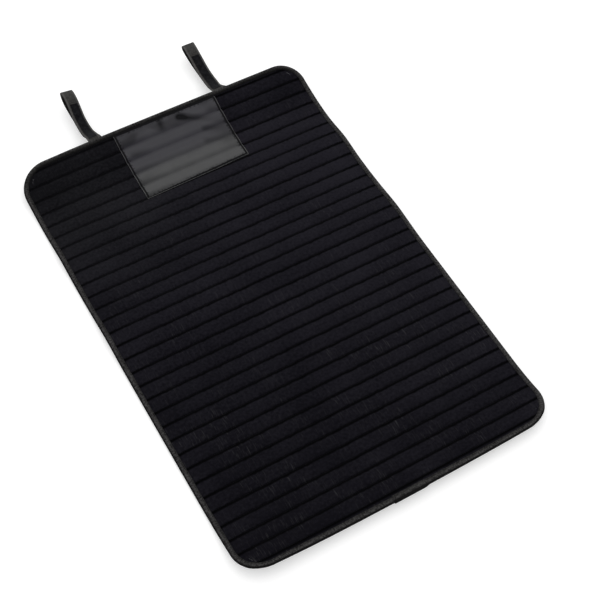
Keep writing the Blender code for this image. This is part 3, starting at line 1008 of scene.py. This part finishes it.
def smooth_through(knots, values, at):
    """A smooth curve through values at knots."""
    slopes = np.gradient(values, knots)
    place = np.clip(np.searchsorted(knots, at, side="right") - 1, 0, len(knots) - 2)
    span = knots[place + 1] - knots[place]
    share = (at - knots[place]) / span
    rest = 1 - share
    level = values[place] * rest**2 * (1 + 2 * share)
    level = level + values[place + 1] * share**2 * (1 + 2 * rest)
    return level + span * share * rest * (slopes[place] * rest - slopes[place + 1] * share)


def even_line(points, spacing):
    """The same line with its points evenly spaced."""
    gone = gone_along(points)
    return points_at(points, gone, np.linspace(0, gone[-1], round(gone[-1] / spacing) + 1))


def strap_middle(loop):
    """Points (y, z) midway between a loop's two plies, from its sewn end to its fold."""
    height = -(GAP + WEBBING_THICKNESS + GAP / 2)
    sewn = laid(0.0, np.linspace(HALF_LENGTH - STRAP_SEWN_LENGTH, HALF_LENGTH, 24), height)[:, 1:]
    out = np.linspace(0, REACHES[-1], 90)[1:]
    heights = smooth_through(REACHES, np.array([sewn[-1, 1], *loop.heights]), out)
    free = np.stack([sewn[-1, 0] + out, heights], axis=1)
    return even_line(np.concatenate([sewn, free]), LOOP_STEP)


def line_frame(points):
    """At each point of a line, the way ahead and the way square to it that points up."""
    ahead = np.gradient(points, axis=0)
    ahead /= np.linalg.norm(ahead, axis=1, keepdims=True)
    return ahead, np.stack([-ahead[:, 1], ahead[:, 0]], axis=1)


def strap_plies(middle, loop):
    """Points down the webbing, out along the upper ply, round the fold and back."""
    gone = gone_along(middle)
    share = np.clip((gone[-1] - gone) / loop.length, 0, 1)
    sewn_apart = (WEBBING_THICKNESS + GAP) / 2
    apart = loop.nose * (1 - share) + sewn_apart * share
    apart = (apart + loop.swell * share**SWELL_RISE * (1 - share) ** SWELL_FALL)[:, None]
    ahead, up = line_frame(middle)
    turn = np.linspace(0, math.pi, FOLD_POINTS)[1:-1, None]
    fold = middle[-1] + (up[-1] * np.cos(turn) + ahead[-1] * np.sin(turn)) * loop.nose
    upper = middle + up * apart
    lower = middle - up * apart
    line = even_line(np.concatenate([upper, fold, lower[::-1]]), LOOP_STEP)
    return line, len(even_line(upper, LOOP_STEP))


middles = {name: strap_middle(loop) for name, loop in LOOPS.items()}
plies = {name: strap_plies(middles[name], loop) for name, loop in LOOPS.items()}
for name, (line, upper_count) in plies.items():
    print(f"{name} takes {len(line) * LOOP_STEP * 1000:.0f} mm of webbing")

# %% [markdown]
# Neither fold is quite square, so the lower ply comes back to the right of the upper one and
# shows beside it at the mat's edge. The webbing is worn light over the fold, on top and along
# its edges. Past the fold the lower ply is painted black as painted shade, inside the loop and
# below. A strip is a grid laid along its line, given its thickness by Solidify and its soft
# edges by Bevel.

# %% Strips
MAT_EDGE = laid(0.0, HALF_LENGTH, 0.0)[1]
TURN_LENGTH = 0.060
DRIFT_LENGTH = 0.024
STRIP_COLUMNS = 13
STRIP_SOFTNESS = 0.32


def beside(line, row, side, lift, loop_name, returning):
    """Points of a strip, given their rows of the line and their distances to one side of it."""
    loop, middle = LOOPS[loop_name], middles[loop_name]
    centre = line[row] + line_frame(line)[1][row] * lift
    out = np.clip(centre[:, 0] - MAT_EDGE, 0, REACHES[-1])
    pivot = np.interp(centre[:, 0], middle[:, 0], middle[:, 1])
    above = centre[:, 1] - pivot
    turned = eased(out / TURN_LENGTH)
    rolled = loop.roll * turned
    sways = loop.across + np.array([0.0, *loop.sway])
    x = smooth_through(REACHES[[0, 2, -1]], sways, out)
    x = x + side * np.cos(rolled) + above * np.sin(rolled)
    y = centre[:, 0] + side * math.tan(loop.yaw) * turned
    z = pivot + above * np.cos(rolled) - side * np.sin(rolled)
    x = x + loop.drift * returning * eased((MAT_EDGE + DRIFT_LENGTH - y) / DRIFT_LENGTH)
    return np.stack([x, y, z], axis=1)


def strip(name, line, loop_name, width, thickness, offset=0.0, lift=0.0, fold=None):
    """A flat strip along a line of (y, z). Past the row named fold it is a loop's lower ply."""
    piece = new_grid(name, STRIP_COLUMNS, len(line))
    column, row = grid_places(piece, STRIP_COLUMNS, len(line))
    side = (column / (STRIP_COLUMNS - 1) - 0.5) * width
    keep_cut(piece, side, row * LOOP_STEP)
    past_fold = np.full(len(row), -1.0) if fold is None else (row - fold) * LOOP_STEP
    keep_cut(piece, past_fold, past_fold, "fold")
    move_points(piece, beside(line, row, side + offset, lift, loop_name, past_fold > 0))
    apply_modifier(piece, "SOLIDIFY", thickness=thickness, offset=0)
    apply_modifier(piece, "BEVEL", width=thickness * STRIP_SOFTNESS, segments=2,
                   limit_method="ANGLE", angle_limit=1.0)
    return piece


# %% Material of the webbing
FOLD_LENGTH = 0.020
WORN_EDGE = (0.0076, 0.0105)
WORN_FOLD = (-0.024, -0.004)
WORN_WEBBING = (0.014, 0.0137, 0.0132, 1), (0.095, 0.0925, 0.0890, 1)
WEBBING_SHADE = (0.0035, 0.0034, 0.0034, 1)


def plain_webbing():
    webbing = Finish("webbing", Roughness=0.78, Specular_IOR_Level=0.08)
    place = webbing.cut()
    past_fold = webbing.split(webbing.cut("fold"))[0]
    worn_edge = webbing.split(place)[0].math("ABSOLUTE").sharpened(*WORN_EDGE) * 0.42
    worn_fold = past_fold.sharpened(*WORN_FOLD) * 0.16
    weave = webbing.ribs(place, 130.0, "X") * webbing.ribs(place, 200.0, "Y")
    wear = webbing.noise(place, 240.0, detail=3.0)
    level = weave * 0.35 + (wear - 0.5) * 1.1 + worn_edge + worn_fold + 0.20
    plain = webbing.blend(level, *WORN_WEBBING)
    # Painted shade: past the fold the lower ply turns black, inside the loop and below.
    under = past_fold.sharpened(FOLD_LENGTH * 0.4, FOLD_LENGTH)
    webbing.feed("Base Color", webbing.blend(under * 0.88, plain, WEBBING_SHADE))
    webbing.feed("Normal", webbing.relief(weave, 0.0005))
    return webbing.material


# %% Webbing loops
webbing = plain_webbing()
for name, (line, upper_count) in plies.items():
    loop = strip(name, line, name, STRAP_WIDTH, WEBBING_THICKNESS, fold=upper_count)
    dress(loop, webbing, "webbing", name)

# %% [markdown]
# ## Hook tape
# A strip of hook tape is sewn on each loop's upper ply. When the loop is closed round a bar,
# its hooks hold in the knit. From a step away it is a dark, fuzzy strip, so it has a rough
# ground with a mottled light on it. It fades towards the mat, where it has been handled most.

# %% Hook tape
TAPE_WIDTH, TAPE_THICKNESS = 0.0165, 0.0006
TAPE_FROM_FOLD, TAPE_FROM_EDGE = 0.032, 0.007
TAPE_OFFSET = 0.0005
TAPE_LIFT = WEBBING_THICKNESS / 2 + GAP / 2 + TAPE_THICKNESS / 2
HANDLED_PART = (0.004, 0.045)
FUZZY_BLACK = (0.0030, 0.0030, 0.0036, 1), (0.021, 0.0215, 0.024, 1)


def dark_tape():
    tape = Finish("hook_tape", Roughness=0.95, Specular_IOR_Level=0.04)
    place = tape.cut()
    fuzz = tape.noise(place, 520.0, detail=4.0, roughness=0.7)
    cloud = tape.noise(place, 120.0, detail=2.0)
    handled = (1 - tape.split(place)[1].sharpened(*HANDLED_PART)) * 0.45
    level = (fuzz - 0.5) * 1.8 + (cloud - 0.5) * 1.2 + handled + 0.31
    tape.feed("Base Color", tape.blend(level, *FUZZY_BLACK))
    tape.feed("Normal", tape.relief(fuzz, 0.0008))
    return tape.material


def tape_line(name):
    """The part of a loop's upper ply that the hook tape covers."""
    line, upper_count = plies[name]
    upper = line[:upper_count]
    end = MAT_EDGE + REACHES[-1] + LOOPS[name].nose - TAPE_FROM_FOLD
    return upper[(upper[:, 0] >= MAT_EDGE + TAPE_FROM_EDGE) & (upper[:, 0] <= end)]


hook_finish = dark_tape()
for name in LOOPS:
    line = tape_line(name)
    tape = strip(f"{name}_hook_tape", line, name, TAPE_WIDTH, TAPE_THICKNESS,
                 offset=TAPE_OFFSET, lift=TAPE_LIFT)
    dress(tape, hook_finish, "hook_tape", f"{name}_hook_tape")

# %% [markdown]
# ## Threads
# Every seam shows its stitches: short bars of thread whose ends dive into the cloth. One stitch
# is a small stretched ball with its ends bent down, and every seam copies it between two points.

# %% One stitch
STITCH_SIDES, STITCH_RINGS = 5, 4
STITCH_BEND, STITCH_CURVE = 2.2, 2.5
THREAD_THICKNESS = 0.0005
THREAD_BLACK = (0.0015, 0.0015, 0.0018, 1), (0.006, 0.006, 0.0065, 1)


def model_stitch():
    """A stitch of unit length along X and unit thickness. Gives its points and its faces."""
    start_clean()
    bpy.ops.mesh.primitive_uv_sphere_add(
        segments=STITCH_SIDES, ring_count=STITCH_RINGS, radius=0.5, rotation=(0, math.pi / 2, 0)
    )
    ball = bpy.context.object
    bpy.ops.object.transform_apply(rotation=True)
    points = points_of(ball)
    points[:, 2] -= STITCH_BEND * np.abs(points[:, 0]) ** STITCH_CURVE
    faces = [list(face.vertices) for face in ball.data.polygons]
    bpy.data.objects.remove(ball)
    return points, faces


def spun_thread():
    thread = Finish("sewing_thread", Roughness=0.60, Specular_IOR_Level=0.08)
    twist = thread.noise(thread.lying(), 2200.0, detail=1.0)
    thread.feed("Base Color", thread.blend(twist, *THREAD_BLACK))
    thread.feed("Normal", thread.relief(twist, 0.0001))
    return thread.material


STITCH_POINTS, STITCH_FACES = model_stitch()
THREAD_FINISH = spun_thread()
print("one stitch has", len(STITCH_FACES), "faces")

# %% A row of stitches
def sew(name, seam, thickness=THREAD_THICKNESS):
    """One mesh with a stitch from each start of a seam to its end, its back towards up."""
    starts, ends, ups = seam
    run = ends - starts
    side = np.cross(ups, run)
    side /= np.linalg.norm(side, axis=1, keepdims=True)
    up = np.cross(run, side)
    up /= np.linalg.norm(up, axis=1, keepdims=True)
    middle = (starts + ends) / 2
    shape = STITCH_POINTS
    points = middle[:, None] + run[:, None] * shape[None, :, :1]
    points = points + side[:, None] * shape[None, :, 1:2] * thickness
    points = points + up[:, None] * shape[None, :, 2:] * thickness
    faces = [
        [corner + index * len(shape) for corner in face]
        for index in range(len(starts)) for face in STITCH_FACES
    ]
    mesh = bpy.data.meshes.new(name)
    mesh.from_pydata(points.reshape(-1, 3), [], faces)
    thread = bpy.data.objects.new(name, mesh)
    bpy.context.scene.collection.objects.link(thread)
    return dress(thread, THREAD_FINISH, "binding_tape")


# %% Threads of the channels
SEAM_STITCH, SEAM_STITCH_GAP = 0.0033, 0.0007
UP = 0.001
THREAD_LIFT = 0.0001


def seam_stitches(height, turn):
    """Ends of the stitches along every seam, on the face with turn 1 or the backing with -1."""
    starts, ends, ups = [], [], []
    for seam in SEAMS:
        left, right = -reach(seam, -1, EDGE_FLAT), reach(seam, 1, EDGE_FLAT)
        step = SEAM_STITCH + SEAM_STITCH_GAP
        first = np.arange(left + SEAM_STITCH_GAP, right - SEAM_STITCH, step)
        level = height(first, np.full_like(first, seam))
        starts.append(laid(first, seam, level))
        ends.append(laid(first + SEAM_STITCH, seam, level))
        ups.append(laid(first, seam, level + turn * UP) - starts[-1])
    return [np.concatenate(values) for values in (starts, ends, ups)]


def on_face(across, along):
    return face_top(across, along) + 2 * THREAD_LIFT


def on_backing(across, along):
    return backing_low(across, along) - THREAD_LIFT


sew("channel_thread", seam_stitches(on_face, 1))
sew("bobbin_thread", seam_stitches(on_backing, -1))

# %% [markdown]
# The binding's stitches run round its inner edge, the patch's round three of its sides, and the
# hook tape's down both its edges. Each loop's foot is held by a box of stitches with a cross in
# it, which is how webbing that is pulled hard is sewn. Each seam is a line that depends on its
# height, so that the way up is known too, and it is then cut into stitches and gaps.

# %% Threads along lines
BOX_LENGTH, BOX_INSET = 0.026, 0.0032
HOOK_INSET = 0.0009
SEAM_POINTS, BOX_POINTS = 120, 40
BINDING_STITCH, PATCH_STITCH = (0.0030, 0.0008), (0.0028, 0.0010)
HOOK_STITCH, BOX_STITCH = (0.0022, 0.0012), (0.0024, 0.0008)
PATCH_THREAD = 0.0008


def stitches_along(line_at, stitch, gap):
    """Ends of the stitches along a line that depends on its height, and the way up at each."""
    line = line_at(0.0)
    ups = line_at(UP) - line
    gone = gone_along(line)
    starts = np.arange(gap, gone[-1] - stitch, stitch + gap)
    ends = points_at(line, gone, starts + stitch)
    return points_at(line, gone, starts), ends, points_at(ups, gone, starts + stitch / 2)


def through(corners, count):
    """A line through corners, with a number of points on each of its sides."""
    sides = zip(corners[:-1], corners[1:])
    return np.concatenate([np.linspace(begin, end, count) for begin, end in sides])


def binding_seam(side):
    """The binding's seam, on its upper leg with side 1 or under the mat with -1."""
    inset = leg_width(tape_gone) - STITCH_INSET
    push = lap_push(tape_across, tape_gone)
    x = tape_across - inset * np.cos(tape_facing)
    y = tape_along - inset * np.sin(tape_facing)
    out = NOSE_OUTER + push - STITCH_PRESS + THREAD_LIFT
    return lambda up: laid(x, bowed(x, y), NOSE_HEIGHT + side * (out + up))


def patch_seam():
    """Down the patch's left side, along its bottom and up its right side."""
    span = PATCH_RIGHT - PATCH_LEFT
    near = HEM_STITCH / span
    low = HEM_STITCH / (PATCH_TOP - PATCH_BOTTOM_LEFT)
    corners = [(near, 1.0), (near, low), (1 - near, low), (1 - near, 1.0)]
    across, along = patch_place(*through(corners, SEAM_POINTS).T)
    level = patch_height(across, along) + THREAD_LIFT
    return lambda up: laid(across, along, level + up)


def loop_seam(name, side):
    """Down one edge of a loop's hook tape."""
    line = tape_line(name)
    row = np.arange(1, len(line) - 1)
    away = np.full(len(row), TAPE_OFFSET + side * (TAPE_WIDTH / 2 - HOOK_INSET))
    lift = TAPE_LIFT + TAPE_THICKNESS / 2
    return lambda up: beside(line, row, away, lift + up, name, 0.0)


def box_seam(name):
    """A crossed box under the mat, through both plies of a loop's sewn end."""
    line = plies[name][0]
    last = len(line) - 2 - BOX_INSET / LOOP_STEP
    first = last - BOX_LENGTH / LOOP_STEP
    out = STRAP_WIDTH / 2 - BOX_INSET
    round_it = [(first, -out), (last, -out), (last, out), (first, out), (first, -out)]
    path = through(round_it + [(last, out), (last, -out), (first, out)], BOX_POINTS)
    whole = np.floor(path[:, 0]).astype(int)
    part = (path[:, 0] - whole)[:, None]
    lift = WEBBING_THICKNESS / 2 + THREAD_LIFT

    def line_at(up):
        near, far = [beside(line, whole + k, path[:, 1], lift + up, name, 1.0) for k in (0, 1)]
        return near * (1 - part) + far * part

    return line_at


# %% Sew the binding, the patch and the loops
sew("binding_thread", stitches_along(binding_seam(1), *BINDING_STITCH))
sew("binding_bobbin_thread", stitches_along(binding_seam(-1), *BINDING_STITCH))
sew("patch_thread", stitches_along(patch_seam(), *PATCH_STITCH), PATCH_THREAD)
for name in LOOPS:
    for side, where_sewn in ((-1, "left"), (1, "right")):
        sew(f"{name}_thread_{where_sewn}", stitches_along(loop_seam(name, side), *HOOK_STITCH))
    sew(f"{name}_box_thread", stitches_along(box_seam(name), *BOX_STITCH))

# %% [markdown]
# ## Light and floor
# The floor is white paper. It takes the pad's shadow, and its own colour is lifted for the
# camera alone, so that it ends in pure white. The white surroundings give most of the light,
# as they do in a light tent, and one large lamp, high behind the pad and to the right, puts a
# soft shadow along the nearer edges. The surroundings are pure white to the camera and in
# reflections, and a little weaker as a light.

# %% Light and floor
KEY_PLACE = Vector((0.95, 0.95, 2.75))
KEY_POWER = 16.0
KEY_SIZE = 3.2
SURROUND_LEVEL = 0.87
PAPER_GLOW = (0.37, 0.37, 0.37, 1.0)
FLOOR_SIZE = 12.0
FLOOR_GAP = 0.0003
PAPER_WHITE = (0.80, 0.80, 0.80, 1.0)


def light_the_room():
    world = bpy.data.worlds.new("surroundings")
    bpy.context.scene.world = world
    world.use_nodes = True
    nodes, links = world.node_tree.nodes, world.node_tree.links
    background = nodes["Background"]
    background.inputs["Color"].default_value = (1.0, 1.0, 1.0, 1.0)
    seen = nodes.new("ShaderNodeLightPath")
    mirrored = nodes.new("ShaderNodeMath")
    direct = nodes.new("ShaderNodeMath")
    links.new(seen.outputs["Is Glossy Ray"], mirrored.inputs[0])
    links.new(seen.outputs["Is Transmission Ray"], mirrored.inputs[1])
    links.new(mirrored.outputs[0], direct.inputs[0])
    links.new(seen.outputs["Is Camera Ray"], direct.inputs[1])
    level = nodes.new("ShaderNodeMapRange")
    level.inputs["To Min"].default_value = SURROUND_LEVEL
    level.inputs["To Max"].default_value = 1.0
    links.new(direct.outputs[0], level.inputs["Value"])
    links.new(level.outputs["Result"], background.inputs["Strength"])
    lamp = bpy.data.lights.new("key", "AREA")
    lamp.energy = KEY_POWER
    lamp.size = KEY_SIZE
    key = bpy.data.objects.new("key", lamp)
    bpy.context.scene.collection.objects.link(key)
    key.location = KEY_PLACE
    key.rotation_euler = (-KEY_PLACE).to_track_quat("-Z", "Y").to_euler()


def lay_the_floor():
    start_clean()
    bpy.ops.mesh.primitive_plane_add(size=FLOOR_SIZE, location=(0, 0, CAD_BOX[0].z - FLOOR_GAP))
    floor = bpy.context.object
    floor.name = "floor"
    paper = Finish(
        "paper", Roughness=1.0, Specular_IOR_Level=0.0, Base_Color=PAPER_WHITE,
        Emission_Strength=1.0,
    )
    seen = paper.node("ShaderNodeLightPath", {}, [])
    paper.feed("Emission Color", paper.blend(seen, (0.0, 0.0, 0.0, 1.0), PAPER_GLOW))
    floor.data.materials.append(paper.material)


light_the_room()
lay_the_floor()
print("lit by one lamp of", KEY_POWER, "W and the surroundings")
